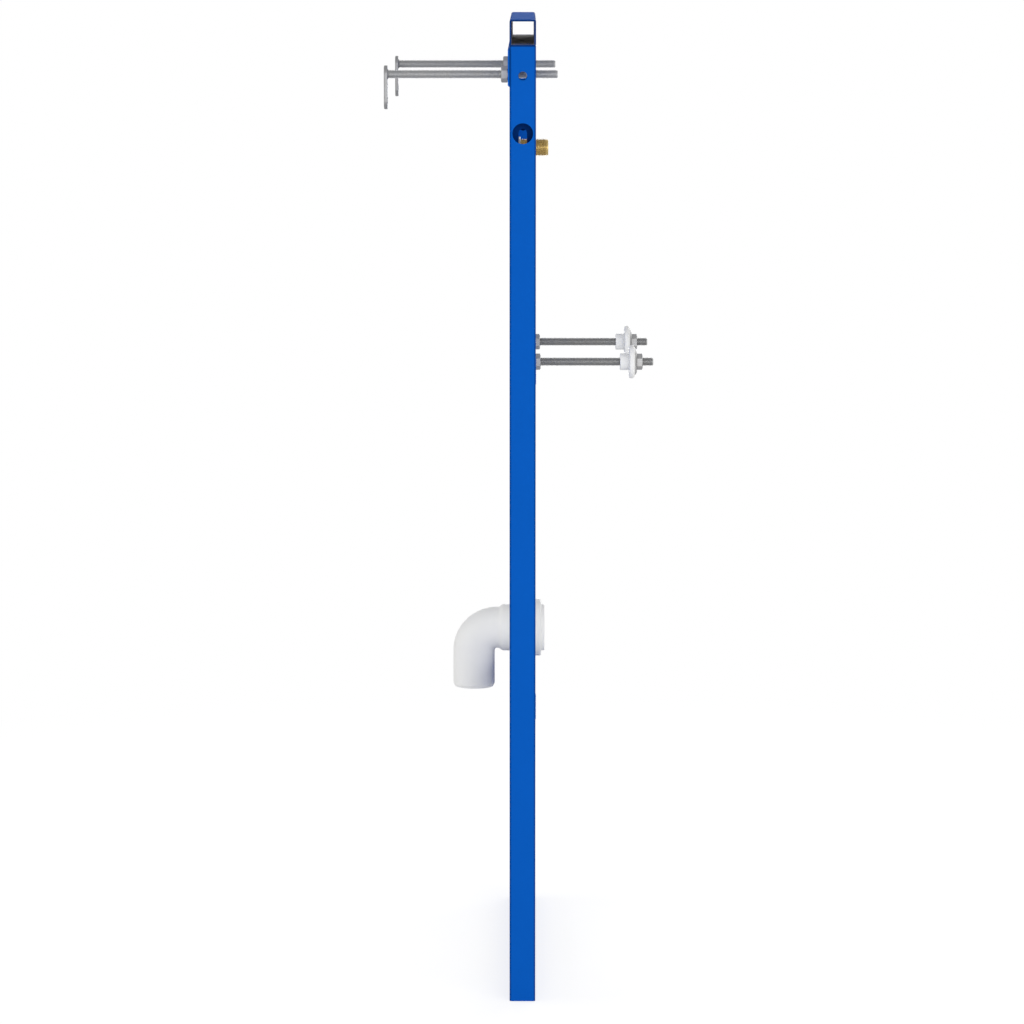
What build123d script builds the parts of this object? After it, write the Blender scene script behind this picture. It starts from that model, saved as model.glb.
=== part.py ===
from build123d import *
import math
import os

# Urinal installation frame: a welded frame of square steel tube that stands on the floor in front
# of a wall, held back to the wall by two adjustable rods, with studs for the urinal, a water inlet
# and a drain elbow. X runs across the frame, -Y faces the room, +Y faces the wall, +Z is up.
# The origin lies on the floor, under the middle of the bottom rail.

# Welded frame of square tube
frame_width = 500.0
frame_height = 1140.0
tube_size = 30.0
tube_wall = 2.0
tube_corner = 2.5
anchor_hole_d = 11.0
anchor_from_upright = 60.0

# Strip across the back that carries the wall rods
strip_height = 40.0
strip_thickness = 2.0
strip_edge_below_rod = 11.0

# Channel rails for the studs and the drain
rail_height = 40.0
rail_wall = 2.0
rail_recess = 2.0
rail_bend = 1.0

# Metric thread and hexagon nuts that fit it
thread_d = 10.0
thread_play = 0.1
thread_chamfer = 1.0
clearance_hole_d = 11.0
nut_across_flats = 17.0
nut_thickness = 8.0
nut_chamfer = 0.9

# Wall rods and the plates on their ends
rod_below_top = 63.0
rod_from_upright = 30.0
rod_front = 25.0
rod_back = 144.0
plate_length = 50.0
plate_width = 20.0
plate_thickness = 4.0
plate_screw_d = 9.0

# Holes in the sides of the uprights
side_hole_d = 10.0
access_hole_d = 23.5
access_above_inlet = 28.5
access_slot_width = 9.5
access_slot_length = 23.0
access_slot_above_hole = 4.0

# Studs that carry the urinal, with their collars
stud_spacing = 230.0
stud_height = 738.0
stud_behind_nut = 2.0
stud_beyond_collar_nut = 12.5
collar_back = 99.5
sleeve_length = 10.7
sleeve_d = 19.6
flange_d = 39.0
flange_rim = 4.8
flange_rounding = 1.8
cone_length = 4.2
cone_tip_d = 26.0
collar_play = 0.25
nut_pocket_depth = 1.2
nut_pocket_play = 0.3

# Water inlet with a half-inch pipe thread
inlet_below_rod = 93.5
inlet_thread_d = 20.955
inlet_shank_d = 20.5
inlet_bore_d = 15.0
inlet_reach = 15.3
inlet_rail_height = 40.0
inlet_rail_thickness = 3.0
inlet_shoulder_thickness = 3.0
inlet_shoulder_d = 27.0
lock_nut_across_flats = 25.0
lock_nut_thickness = 6.0
lock_nut_chamfer = 0.8
inlet_hole_play = 0.2
inlet_chamfer = 1.0
thread_end_gap = 1.0

# Moulded drain elbow with its push-fit socket
drain_height = 400.0
pipe_d = 50.0
pipe_wall = 1.8
socket_wall = 3.0
socket_play = 0.3
socket_reach = 11.3
socket_back = 8.0
stop_into_flare = 1.5
flare_length = 8.0
bend_run = 0.3
bend_inner_radius = 3.0
spigot_length = 44.0
spigot_chamfer = 1.5
spigot_chamfer_length = 3.5
bead_wall = 3.2
bead_front = 7.3
bead_width = 12.0
bead_rounding = 2.0
groove_depth = 6.0
groove_width = 7.0
seal_lip = 1.0
seal_play = 0.2

# Clamp that holds the elbow down on its rail
clamp_gap = 1.3
clamp_width = 18.0
clamp_thickness = 2.0
clamp_foot_length = 96.0
liner_thickness = 2.0
liner_play = 0.15

# Sizes that follow from the ones above
front_face = -tube_size / 2
rear_face = tube_size / 2
inner_half_width = frame_width / 2 - tube_size
upright_x = frame_width / 2 - tube_size / 2
upright_length = frame_height - tube_size
rail_depth = tube_size - 2 * rail_recess
rail_front = front_face + rail_recess
strip_back = rear_face + strip_thickness
rod_height = frame_height - rod_below_top
rod_x = inner_half_width - rod_from_upright
anchor_x = inner_half_width - anchor_from_upright
inlet_height = rod_height - inlet_below_rod
access_height = inlet_height + access_above_inlet
nut_bore_d = thread_d + 2 * thread_play
nut_corner_d = nut_across_flats / math.cos(math.radians(30))
collar_rear = front_face - collar_back
collar_face = collar_rear - sleeve_length - flange_rim - cone_length
collar_nut_front = collar_face + nut_pocket_depth - nut_thickness
pipe_r = pipe_d / 2
pipe_bore_r = pipe_r - pipe_wall
fit_r = pipe_r + socket_play
socket_r = fit_r + socket_wall
groove_r = fit_r + groove_depth
bead_face = front_face - bead_front
bead_rear = bead_face + bead_width
groove_front = (bead_face + bead_rear - groove_width) / 2
groove_rear = groove_front + groove_width
socket_mouth = front_face - socket_reach
flare_start = rear_face + socket_back
flare_end = flare_start + flare_length
socket_stop = flare_start + stop_into_flare
bend_start = flare_end + bend_run
bend_radius = pipe_r + bend_inner_radius
clamp_front = bead_rear + clamp_gap
clamp_rear = clamp_front + clamp_width
sides = {"left": -1, "right": 1}


def save(shape, node):
    """Write one piece to its own file."""
    export_step(shape, f"parts/{node}.step")


def square_tube(length):
    """Square tube with rounded outer corners, standing on Z = 0."""
    bore = tube_size - 2 * tube_wall
    section = RectangleRounded(tube_size, tube_size, tube_corner) - Rectangle(bore, bore)
    return extrude(section, length)


def across(shape, length):
    """Lay a tube that stands on Z = 0 along X, centred on the frame."""
    return Pos(-length / 2, 0, 0) * Rot(0, 90, 0) * shape


def round_bar(diameter, start, end, chamfer_size=0.0):
    """Round bar along Y from start to end, chamfered at its front end if asked."""
    bar = Pos(0, end, 0) * Rot(90, 0, 0) * extrude(Circle(diameter / 2), end - start)
    if chamfer_size:
        bar = chamfer(bar.edges().group_by(Axis.Y)[0], chamfer_size)
    return bar


def hexagon_nut(across_flats, thickness, bore_d, corner_cut, turn, front):
    """Hexagon nut on the Y axis with its front face at the given place and both rims chamfered."""
    hexagon = RegularPolygon(across_flats / 2, 6, major_radius=False, rotation=turn)
    blank = Pos(0, front + thickness, 0) * Rot(90, 0, 0) * extrude(hexagon, thickness)
    corner_d = across_flats / math.cos(math.radians(30))
    turned = round_bar(corner_d, front, front + thickness)
    turned = chamfer(turned.edges().filter_by(GeomType.CIRCLE), corner_cut)
    return (blank & turned) - round_bar(bore_d, front, front + thickness)


def thread_nut(front):
    """Nut for the rods and studs, standing on a corner."""
    return hexagon_nut(nut_across_flats, nut_thickness, nut_bore_d, nut_chamfer, 90, front)


def turned(points, rim_rounding=0.0):
    """Solid turned about the Y axis from points given as place along Y and radius, with the corners
    at its largest radius rounded if asked."""
    half_section = make_face(Polyline(*points, close=True))
    if rim_rounding:
        half_section = fillet(half_section.vertices().group_by(Axis.Y)[-1], rim_rounding)
    return revolve(Plane.YZ * half_section, Axis.Y)


def channel_rail(height, length):
    """Channel open towards the wall, folded from sheet, centred on X and Z at mid height zero."""
    outer = Pos(rail_front + rail_depth / 2, 0) * Rectangle(rail_depth, height)
    outer = fillet(outer.vertices().group_by(Axis.X)[0], rail_bend + rail_wall)
    hollow_depth = rail_depth - rail_wall
    hollow = Rectangle(hollow_depth, height - 2 * rail_wall)
    hollow = Pos(rail_front + rail_wall + hollow_depth / 2, 0) * hollow
    hollow = fillet(hollow.vertices().group_by(Axis.X)[0], rail_bend)
    return Pos(-length / 2, 0, 0) * extrude(Plane.YZ * (outer - hollow), length)


def upright(side):
    """Upright with the side holes: small ones through both walls, an access hole and an inner slot."""
    post = Pos(side * upright_x, 0, 0) * square_tube(upright_length)
    through = extrude(Plane.YZ * Circle(side_hole_d / 2), frame_width / 2, both=True)
    post -= Pos(0, 0, rod_height) * through
    outer_wall_x = side * (frame_width / 2 - tube_wall / 2)
    access = extrude(Plane.YZ * Circle(access_hole_d / 2), tube_wall, both=True)
    post -= Pos(outer_wall_x, 0, access_height) * access
    inner_wall_x = side * (inner_half_width + tube_wall / 2)
    slot_outline = SlotOverall(access_slot_length, access_slot_width, rotation=90)
    slot = extrude(Plane.YZ * slot_outline, tube_wall, both=True)
    slot_centre = access_height + access_slot_above_hole - access_slot_length / 2
    return post - Pos(inner_wall_x, 0, slot_centre) * slot


def build_frame():
    """Uprights, crossbar, rear strip, rails and the bottom rail."""
    for name, side in sides.items():
        save(upright(side), f"{name}_upright")

    crossbar_height = frame_height - tube_size / 2
    save(Pos(0, 0, crossbar_height) * across(square_tube(frame_width), frame_width), "top_crossbar")

    strip_bottom = rod_height - strip_edge_below_rod
    strip_centre = Pos(0, rear_face + strip_thickness / 2, strip_bottom + strip_height / 2)
    strip = strip_centre * Box(frame_width, strip_thickness, strip_height)
    for side in sides.values():
        rod_hole = round_bar(clearance_hole_d, rear_face, strip_back)
        strip -= Pos(side * rod_x, 0, rod_height) * rod_hole
    save(strip, "rear_strip")

    stud_rail = Pos(0, 0, stud_height) * channel_rail(rail_height, 2 * inner_half_width)
    for side in sides.values():
        stud_hole = round_bar(clearance_hole_d, rail_front, rail_front + rail_wall)
        stud_rail -= Pos(side * stud_spacing / 2, 0, stud_height) * stud_hole
    save(stud_rail, "stud_rail")

    bottom_length = 2 * inner_half_width
    bottom_rail = Pos(0, 0, tube_size / 2) * across(square_tube(bottom_length), bottom_length)
    for side in sides.values():
        bottom_rail -= Pos(side * anchor_x, 0, 0) * extrude(Circle(anchor_hole_d / 2), tube_size)
    save(bottom_rail, "bottom_rail")


def build_wall_rods():
    """Threaded rods held to the rear strip by a nut on each face, with a screw plate on the end."""
    plate_face = rear_face + rod_back
    rod_end = plate_face - plate_thickness
    plate_drop = plate_length / 2 - plate_width / 2
    outline = SlotOverall(plate_length, plate_width, rotation=90)
    plate = Pos(0, plate_face, -plate_drop) * Rot(90, 0, 0) * extrude(outline, plate_thickness)
    plate -= Pos(0, 0, -2 * plate_drop) * round_bar(plate_screw_d, rod_end, plate_face)
    rod = round_bar(thread_d, front_face - rod_front, rod_end, thread_chamfer)
    for name, side in sides.items():
        place = Pos(side * rod_x, 0, rod_height)
        save(place * rod, f"{name}_wall_rod")
        save(place * plate, f"{name}_wall_plate")
        save(place * thread_nut(rear_face - nut_thickness), f"{name}_wall_rod_front_nut")
        save(place * thread_nut(strip_back), f"{name}_wall_rod_rear_nut")


def collar():
    """Moulded collar: sleeve, flange with a rounded rim and cone, with a pocket for its nut."""
    flange_back = collar_rear - sleeve_length
    flange_front = flange_back - flange_rim
    pocket_d = nut_corner_d + 2 * nut_pocket_play
    body = turned([
        (collar_rear, 0),
        (collar_rear, sleeve_d / 2),
        (flange_back, sleeve_d / 2),
        (flange_back, flange_d / 2),
        (flange_front, flange_d / 2),
        (collar_face, cone_tip_d / 2),
        (collar_face, 0),
    ], flange_rounding)
    body -= round_bar(thread_d + 2 * collar_play, collar_face, collar_rear)
    return body - round_bar(pocket_d, collar_face, collar_face + nut_pocket_depth)


def build_studs():
    """Studs for the urinal, clamped in the stud rail between two nuts, each with a collar and nut."""
    inner_nut_front = rail_front + rail_wall
    stud_end = inner_nut_front + nut_thickness + stud_behind_nut
    stud = round_bar(thread_d, collar_nut_front - stud_beyond_collar_nut, stud_end, thread_chamfer)
    for name, side in sides.items():
        place = Pos(side * stud_spacing / 2, 0, stud_height)
        save(place * stud, f"{name}_urinal_stud")
        save(place * thread_nut(rail_front - nut_thickness), f"{name}_stud_front_nut")
        save(place * thread_nut(inner_nut_front), f"{name}_stud_inner_nut")
        save(place * collar(), f"{name}_stud_collar")
        save(place * thread_nut(collar_nut_front), f"{name}_collar_nut")


def build_inlet():
    """Flat rail with a brass water inlet, drawn against it by a lock nut."""
    rail_rear = rear_face - inlet_shoulder_thickness
    rail_face = rail_rear - inlet_rail_thickness
    hole_d = inlet_thread_d + 2 * inlet_hole_play
    place = Pos(0, 0, inlet_height)
    bar = Box(2 * inner_half_width, inlet_rail_thickness, inlet_rail_height)
    rail = Pos(0, rail_face + inlet_rail_thickness / 2, 0) * bar - round_bar(hole_d, rail_face, rail_rear)
    save(place * rail, "inlet_rail")

    nut_face = rail_face - lock_nut_thickness
    thread = round_bar(inlet_thread_d, front_face - inlet_reach, nut_face - thread_end_gap, inlet_chamfer)
    shank = round_bar(inlet_shank_d, nut_face - thread_end_gap, rear_face)
    shoulder = round_bar(inlet_shoulder_d, rail_rear, rear_face)
    bore = round_bar(inlet_bore_d, front_face - inlet_reach, rear_face)
    save(place * (thread + shank + shoulder - bore), "inlet_fitting")

    nut = hexagon_nut(lock_nut_across_flats, lock_nut_thickness, hole_d, lock_nut_chamfer, 0, nut_face)
    save(place * nut, "inlet_lock_nut")


def flare():
    """Solid neck that narrows in an even curve from the socket to the pipe."""
    curve = Spline((flare_start, socket_r), (flare_end, pipe_r), tangents=[(1, 0), (1, 0)])
    rest = Polyline(
        (flare_end, pipe_r),
        (bend_start, pipe_r),
        (bend_start, 0),
        (flare_start, 0),
        (flare_start, socket_r),
    )
    return revolve(Plane.YZ * make_face(curve + rest), Axis.Y)


def pipe_bend(diameter):
    """Quarter bend of solid round bar, from the socket's axis down to the spigot's."""
    turning_axis = Axis((0, bend_start, -bend_radius), (-1, 0, 0))
    return revolve(Plane.XZ.offset(-bend_start) * Circle(diameter / 2), turning_axis, 90)


def drain_elbow():
    """Hollow elbow: push-fit socket with its seal bead, quarter bend and chamfered spigot."""
    bead_r = groove_r + bead_wall
    spigot_y = bend_start + bend_radius
    spigot_end = -bend_radius - spigot_length
    outside = turned([
        (socket_mouth, 0),
        (socket_mouth, socket_r),
        (bead_face, socket_r),
        (bead_face, bead_r),
        (bead_rear, bead_r),
        (bead_rear, socket_r),
        (flare_start, socket_r),
        (flare_start, 0),
    ], bead_rounding)
    outside += flare() + pipe_bend(pipe_d)
    tip_r = pipe_r - spigot_chamfer
    barrel_end = spigot_end + spigot_chamfer_length
    spigot_section = Polyline(
        (0, spigot_end),
        (tip_r, spigot_end),
        (pipe_r, barrel_end),
        (pipe_r, -bend_radius),
        (0, -bend_radius),
        close=True,
    )
    outside += Pos(0, spigot_y, 0) * revolve(Plane.XZ * make_face(spigot_section), Axis.Z)

    inside = round_bar(2 * fit_r, socket_mouth, socket_stop)
    inside += round_bar(2 * groove_r, groove_front, groove_rear)
    inside += round_bar(2 * pipe_bore_r, socket_stop, bend_start)
    inside += pipe_bend(2 * pipe_bore_r)
    inside += Pos(0, spigot_y, spigot_end) * extrude(Circle(pipe_bore_r), spigot_length)
    return outside - inside


def drain_seal():
    """Rubber ring in the socket's groove, with its lip pressed back as a pipe presses it."""
    ring_r = groove_r - seal_play
    lip_r = fit_r + seal_play
    front = groove_front + seal_play
    rear = groove_rear - seal_play
    return turned([
        (front, ring_r),
        (front, lip_r + seal_lip),
        ((front + rear) / 2, lip_r),
        (rear, lip_r),
        (rear, ring_r),
    ])


def build_drain():
    """Drain elbow, its seal, and the lined clamp that carries it on the drain rail."""
    place = Pos(0, 0, drain_height)
    save(place * drain_elbow(), "drain_elbow")
    save(place * drain_seal(), "drain_seal")

    liner_r = socket_r + liner_play
    liner_outer_r = liner_r + liner_thickness
    liner = round_bar(2 * liner_outer_r, clamp_front, clamp_rear)
    save(place * (liner - round_bar(2 * liner_r, clamp_front, clamp_rear)), "drain_clamp_liner")

    band_r = liner_outer_r + liner_play
    band_outer_r = band_r + clamp_thickness
    band = round_bar(2 * band_outer_r, clamp_front, clamp_rear)
    foot = Box(clamp_foot_length, clamp_width, 2 * clamp_thickness)
    band += Pos(0, (clamp_front + clamp_rear) / 2, -band_outer_r) * foot
    save(place * (band - round_bar(2 * band_r, clamp_front, clamp_rear)), "drain_clamp")

    rail_top = drain_height - band_outer_r - clamp_thickness
    rail = channel_rail(rail_height, 2 * inner_half_width)
    save(Pos(0, 0, rail_top - rail_height / 2) * rail, "drain_rail")


os.makedirs("parts", exist_ok=True)
build_frame()
build_wall_rods()
build_studs()
build_inlet()
build_drain()
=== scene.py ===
import math

import bmesh
import bpy
from mathutils import Matrix, Vector


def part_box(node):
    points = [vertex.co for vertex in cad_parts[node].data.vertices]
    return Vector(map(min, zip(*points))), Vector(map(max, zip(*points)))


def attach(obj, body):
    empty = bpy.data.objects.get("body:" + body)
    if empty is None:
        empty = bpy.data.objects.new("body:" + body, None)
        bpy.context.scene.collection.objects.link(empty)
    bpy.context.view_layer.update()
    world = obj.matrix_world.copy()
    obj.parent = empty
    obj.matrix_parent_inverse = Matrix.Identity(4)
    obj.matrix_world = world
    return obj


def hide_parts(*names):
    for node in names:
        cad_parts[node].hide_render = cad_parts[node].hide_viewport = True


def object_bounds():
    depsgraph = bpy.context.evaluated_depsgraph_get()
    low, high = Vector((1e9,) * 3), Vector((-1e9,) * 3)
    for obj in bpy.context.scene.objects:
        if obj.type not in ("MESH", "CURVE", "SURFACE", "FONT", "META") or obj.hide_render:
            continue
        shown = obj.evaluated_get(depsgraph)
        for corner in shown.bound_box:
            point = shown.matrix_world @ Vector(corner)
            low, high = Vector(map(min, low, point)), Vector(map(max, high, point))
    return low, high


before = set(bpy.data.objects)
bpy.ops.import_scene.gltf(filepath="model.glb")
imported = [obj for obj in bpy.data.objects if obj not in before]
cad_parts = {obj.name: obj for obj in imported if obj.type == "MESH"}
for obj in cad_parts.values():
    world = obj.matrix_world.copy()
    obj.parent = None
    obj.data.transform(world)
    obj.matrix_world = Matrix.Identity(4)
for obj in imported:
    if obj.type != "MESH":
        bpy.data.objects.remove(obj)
cad_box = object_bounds()

# Looks of a urinal installation frame: blue powder-coated square tube, zinc-plated rods, studs and nuts,
# a turned brass water inlet and moulded white plastic at the drain and on the studs.
# X runs across the frame, -Y faces the room, +Y faces the wall, +Z is up, and the floor is Z = 0.
# Lengths are in metres, so a size in millimetres is written times mm.
mm = 0.001
full_turn = 2 * math.pi
sides = {"left": -1, "right": 1}

# Slots of the record, named beside each piece as it is made
coated_slot = "powder_coat"
zinc_slot = "zinc_steel"
brass_slot = "brass"
plastic_slot = "white_plastic"
rubber_slot = "rubber"


# Colour and node helpers

def linear(code):
    """Linear colour with alpha from an sRGB hex value."""
    channels = [int(code[i:i + 2], 16) / 255 for i in (1, 3, 5)]
    return [c / 12.92 if c <= 0.04045 else ((c + 0.055) / 1.055) ** 2.4 for c in channels] + [1.0]


def add(tree, kind, values=(), links=(), **settings):
    """Add a node with its settings, its constant inputs and the sockets that its other inputs take."""
    node = tree.nodes.new(kind)
    for name, value in settings.items():
        setattr(node, name, value)
    for name, value in dict(values).items():
        node.inputs[name].default_value = value
    for name, socket in dict(links).items():
        tree.links.new(socket, node.inputs[name])
    return node


def new_material(name):
    """New material and its node tree, cleared of the nodes it starts with."""
    material = bpy.data.materials.new(name)
    material.use_nodes = True
    material.node_tree.nodes.clear()
    return material, material.node_tree


# Materials

# Square tube as the coat meets it: bore, rounded corners and sawn ends that get painted shade, and the
# spray's reach inside
bore_half = 13 * mm
bore_margin = 0.1 * mm
corner_start = 12.5 * mm
corner_run = 2 * mm
sawn_margin = 0.2 * mm
spray_reach = 30 * mm


def powder_coat(name, tube=None):
    """Polyester powder coat, sprayed and baked: an even satin blue whose skin has the shallow dimples
    of orange peel. On a square tube it thins out inside the bore, with painted shade on corners and
    ends."""
    material, tree = new_material(name)
    place = add(tree, "ShaderNodeTexCoord").outputs["Object"]
    cloud = add(tree, "ShaderNodeTexNoise", {"Scale": 1 / (60 * mm), "Detail": 2.0}, {"Vector": place})
    blue = add(tree, "ShaderNodeMix", {"A": linear("#0654b0"), "B": linear("#0857b7")},
               {"Factor": cloud.outputs["Fac"]}, data_type="RGBA")
    peel = add(tree, "ShaderNodeTexNoise", {"Scale": 1 / (2.2 * mm), "Detail": 1.0}, {"Vector": place})
    dimples = add(tree, "ShaderNodeBump", {"Strength": 0.35, "Distance": 0.05 * mm},
                  {"Height": peel.outputs["Fac"]})
    gloss = add(tree, "ShaderNodeMapRange", {"To Min": 0.68, "To Max": 0.8},
                {"Value": cloud.outputs["Fac"]})
    sockets = {"Base Color": blue.outputs["Result"], "Roughness": gloss.outputs[0],
               "Normal": dimples.outputs[0]}
    if tube:
        sockets.update(tube_coat_with_painted_edge_shade(tree, place, sockets["Base Color"], **tube))
    shader = add(tree, "ShaderNodeBsdfPrincipled", {"Specular IOR Level": 0.02}, sockets)
    add(tree, "ShaderNodeOutputMaterial", links={"Surface": shader.outputs[0]})
    return material


def tube_coat_with_painted_edge_shade(tree, place, coat_colour, centre, run, end, lining):
    """Sockets for a coated tube, the same left and right: coat outside, with painted shade on the
    rounded corners and the sawn ends, and the lining inside, with a breath of coat near the ends."""
    mirrored = add(tree, "ShaderNodeVectorMath", links={0: place}, operation="ABSOLUTE")
    local = add(tree, "ShaderNodeVectorMath", {1: centre}, {0: mirrored.outputs[0]},
                operation="SUBTRACT")
    reach = add(tree, "ShaderNodeVectorMath", links={0: local.outputs[0]}, operation="ABSOLUTE")
    along = add(tree, "ShaderNodeSeparateXYZ", links={0: reach.outputs[0]})
    across = {count: along.outputs[axis] for count, axis in enumerate(sorted({"X", "Y", "Z"} - {run}))}
    widest = add(tree, "ShaderNodeMath", links=across, operation="MAXIMUM")
    narrowest = add(tree, "ShaderNodeMath", links=across, operation="MINIMUM")
    inside = add(tree, "ShaderNodeMath", {1: bore_half + bore_margin}, {0: widest.outputs[0]},
                 operation="LESS_THAN")

    # Painted shade: masks for the rounded corners and the sawn ends, where the coat is mixed towards
    # dark navy
    corner = add(tree, "ShaderNodeMapRange",
                 {"From Min": corner_start, "From Max": corner_start + corner_run, "To Max": 0.75},
                 {"Value": narrowest.outputs[0]})
    sawn = add(tree, "ShaderNodeMath", {1: end - sawn_margin}, {0: along.outputs[run]},
               operation="GREATER_THAN")
    sawn = add(tree, "ShaderNodeMath", {1: 0.9}, {0: sawn.outputs[0]}, operation="MULTIPLY")
    painted_edge_shade = add(tree, "ShaderNodeMath", links={0: corner.outputs[0], 1: sawn.outputs[0]},
               operation="MAXIMUM")
    # Painted shade: dark navy mixed into the coat colour on the corners and sawn ends
    outside = add(tree, "ShaderNodeMix", {"B": linear("#06285e")},
                  {"Factor": painted_edge_shade.outputs[0], "A": coat_colour}, data_type="RGBA")

    scale = add(tree, "ShaderNodeTexNoise", {"Scale": 1 / (8 * mm), "Detail": 4.0}, {"Vector": place})
    bare = add(tree, "ShaderNodeMix", {"A": linear(lining["dark"]), "B": linear(lining["light"])},
               {"Factor": scale.outputs["Fac"]}, data_type="RGBA")
    breath = add(tree, "ShaderNodeMapRange",
                 {"From Min": end - spray_reach, "From Max": end, "To Max": 0.7},
                 {"Value": along.outputs[run]}, interpolation_type="SMOOTHSTEP")
    bore = add(tree, "ShaderNodeMix", {"B": linear("#0a3f86")},
               {"Factor": breath.outputs[0], "A": bare.outputs["Result"]}, data_type="RGBA")
    layers = {"Factor": inside.outputs[0], "A": outside.outputs["Result"], "B": bore.outputs["Result"]}
    colour = add(tree, "ShaderNodeMix", links=layers, data_type="RGBA")
    sockets = {"Base Color": colour.outputs["Result"]}
    if lining["metal"]:
        sockets["Metallic"] = inside.outputs[0]
    return sockets


def zinc_plate(name, cool, warm):
    """Steel with bright zinc plate under a clear passivate: a cool grey metal, a little cloudy, with a
    trace of blue and straw in the passivate and a fine tooth from the plating bath."""
    material, tree = new_material(name)
    place = add(tree, "ShaderNodeTexCoord").outputs["Object"]
    cloud = add(tree, "ShaderNodeTexNoise", {"Scale": 1 / (14 * mm), "Detail": 3.0}, {"Vector": place})
    tint = add(tree, "ShaderNodeMix", {"A": linear(cool), "B": linear(warm)},
               {"Factor": cloud.outputs["Fac"]}, data_type="RGBA")
    gloss = add(tree, "ShaderNodeMapRange", {"To Min": 0.38, "To Max": 0.52},
                {"Value": cloud.outputs["Fac"]})
    tooth = add(tree, "ShaderNodeTexNoise", {"Scale": 1 / (0.8 * mm), "Detail": 2.0}, {"Vector": place})
    grain = add(tree, "ShaderNodeBump", {"Strength": 0.2, "Distance": 0.02 * mm},
                {"Height": tooth.outputs["Fac"]})
    shader = add(tree, "ShaderNodeBsdfPrincipled", {"Metallic": 0.6},
                 {"Base Color": tint.outputs["Result"], "Roughness": gloss.outputs[0],
                  "Normal": grain.outputs[0]})
    add(tree, "ShaderNodeOutputMaterial", links={"Surface": shader.outputs[0]})
    return material


def turned_brass():
    """Free-cutting brass, turned: a muted yellow metal with the fine rings of the lathe tool and the
    slightly browner clouds of a surface that has stood in the air."""
    material, tree = new_material("turned_brass")
    place = add(tree, "ShaderNodeTexCoord").outputs["Object"]
    cloud = add(tree, "ShaderNodeTexNoise", {"Scale": 1 / (9 * mm), "Detail": 3.0}, {"Vector": place})
    tint = add(tree, "ShaderNodeMix", {"A": linear("#b69c5d"), "B": linear("#c3ab70")},
               {"Factor": cloud.outputs["Fac"]}, data_type="RGBA")
    rings = add(tree, "ShaderNodeTexWave", {"Scale": 1 / (2.2 * mm), "Distortion": 0.4},
                {"Vector": place}, bands_direction="Y")
    grooves = add(tree, "ShaderNodeBump", {"Strength": 0.15, "Distance": 0.02 * mm},
                  {"Height": rings.outputs["Fac"]})
    shader = add(tree, "ShaderNodeBsdfPrincipled", {"Metallic": 0.7, "Roughness": 0.36},
                 {"Base Color": tint.outputs["Result"], "Normal": grooves.outputs[0]})
    add(tree, "ShaderNodeOutputMaterial", links={"Surface": shader.outputs[0]})
    return material


def moulded_plastic():
    """White polypropylene from a spark-eroded mould: a soft off-white with a low sheen, a trace of flow
    clouding and a very fine matt tooth, drawn about three times coarser than it is so that it shows."""
    material, tree = new_material("moulded_white_polypropylene")
    place = add(tree, "ShaderNodeTexCoord").outputs["Object"]
    cloud = add(tree, "ShaderNodeTexNoise", {"Scale": 1 / (25 * mm), "Detail": 2.0}, {"Vector": place})
    white = add(tree, "ShaderNodeMix", {"A": linear("#e8e8e7"), "B": linear("#ededec")},
                {"Factor": cloud.outputs["Fac"]}, data_type="RGBA")
    tooth = add(tree, "ShaderNodeTexNoise", {"Scale": 1 / (0.7 * mm), "Detail": 2.0}, {"Vector": place})
    matt = add(tree, "ShaderNodeBump", {"Strength": 0.15, "Distance": 0.02 * mm},
               {"Height": tooth.outputs["Fac"]})
    gloss = add(tree, "ShaderNodeMapRange", {"To Min": 0.46, "To Max": 0.56},
                {"Value": cloud.outputs["Fac"]})
    shader = add(tree, "ShaderNodeBsdfPrincipled", {"Specular IOR Level": 0.1},
                 {"Base Color": white.outputs["Result"], "Roughness": gloss.outputs[0],
                  "Normal": matt.outputs[0]})
    add(tree, "ShaderNodeOutputMaterial", links={"Surface": shader.outputs[0]})
    return material


def moulded_rubber():
    """Black rubber, pressed in a mould: nearly matt, a shade greyer where it has bloomed."""
    material, tree = new_material("moulded_black_rubber")
    place = add(tree, "ShaderNodeTexCoord").outputs["Object"]
    bloom = add(tree, "ShaderNodeTexNoise", {"Scale": 1 / (6 * mm), "Detail": 3.0}, {"Vector": place})
    black = add(tree, "ShaderNodeMix", {"A": linear("#1b1b1c"), "B": linear("#2a2a2a")},
                {"Factor": bloom.outputs["Fac"]}, data_type="RGBA")
    tooth = add(tree, "ShaderNodeTexNoise", {"Scale": 1 / (0.6 * mm), "Detail": 2.0}, {"Vector": place})
    matt = add(tree, "ShaderNodeBump", {"Strength": 0.25, "Distance": 0.03 * mm},
               {"Height": tooth.outputs["Fac"]})
    shader = add(tree, "ShaderNodeBsdfPrincipled", {"Roughness": 0.72, "Specular IOR Level": 0.3},
                 {"Base Color": black.outputs["Result"], "Normal": matt.outputs[0]})
    add(tree, "ShaderNodeOutputMaterial", links={"Surface": shader.outputs[0]})
    return material


# Mesh helpers: steps of round forms, gaps within which points count as one, slope of chamfers
round_steps = 96
small_round_steps = 48
rounding_segments = 6
merge_gap = 0.002 * mm
turn_gap = 0.01 * mm
cut_gap = 0.001 * mm
chamfer_slope = math.tan(math.radians(30))


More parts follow.
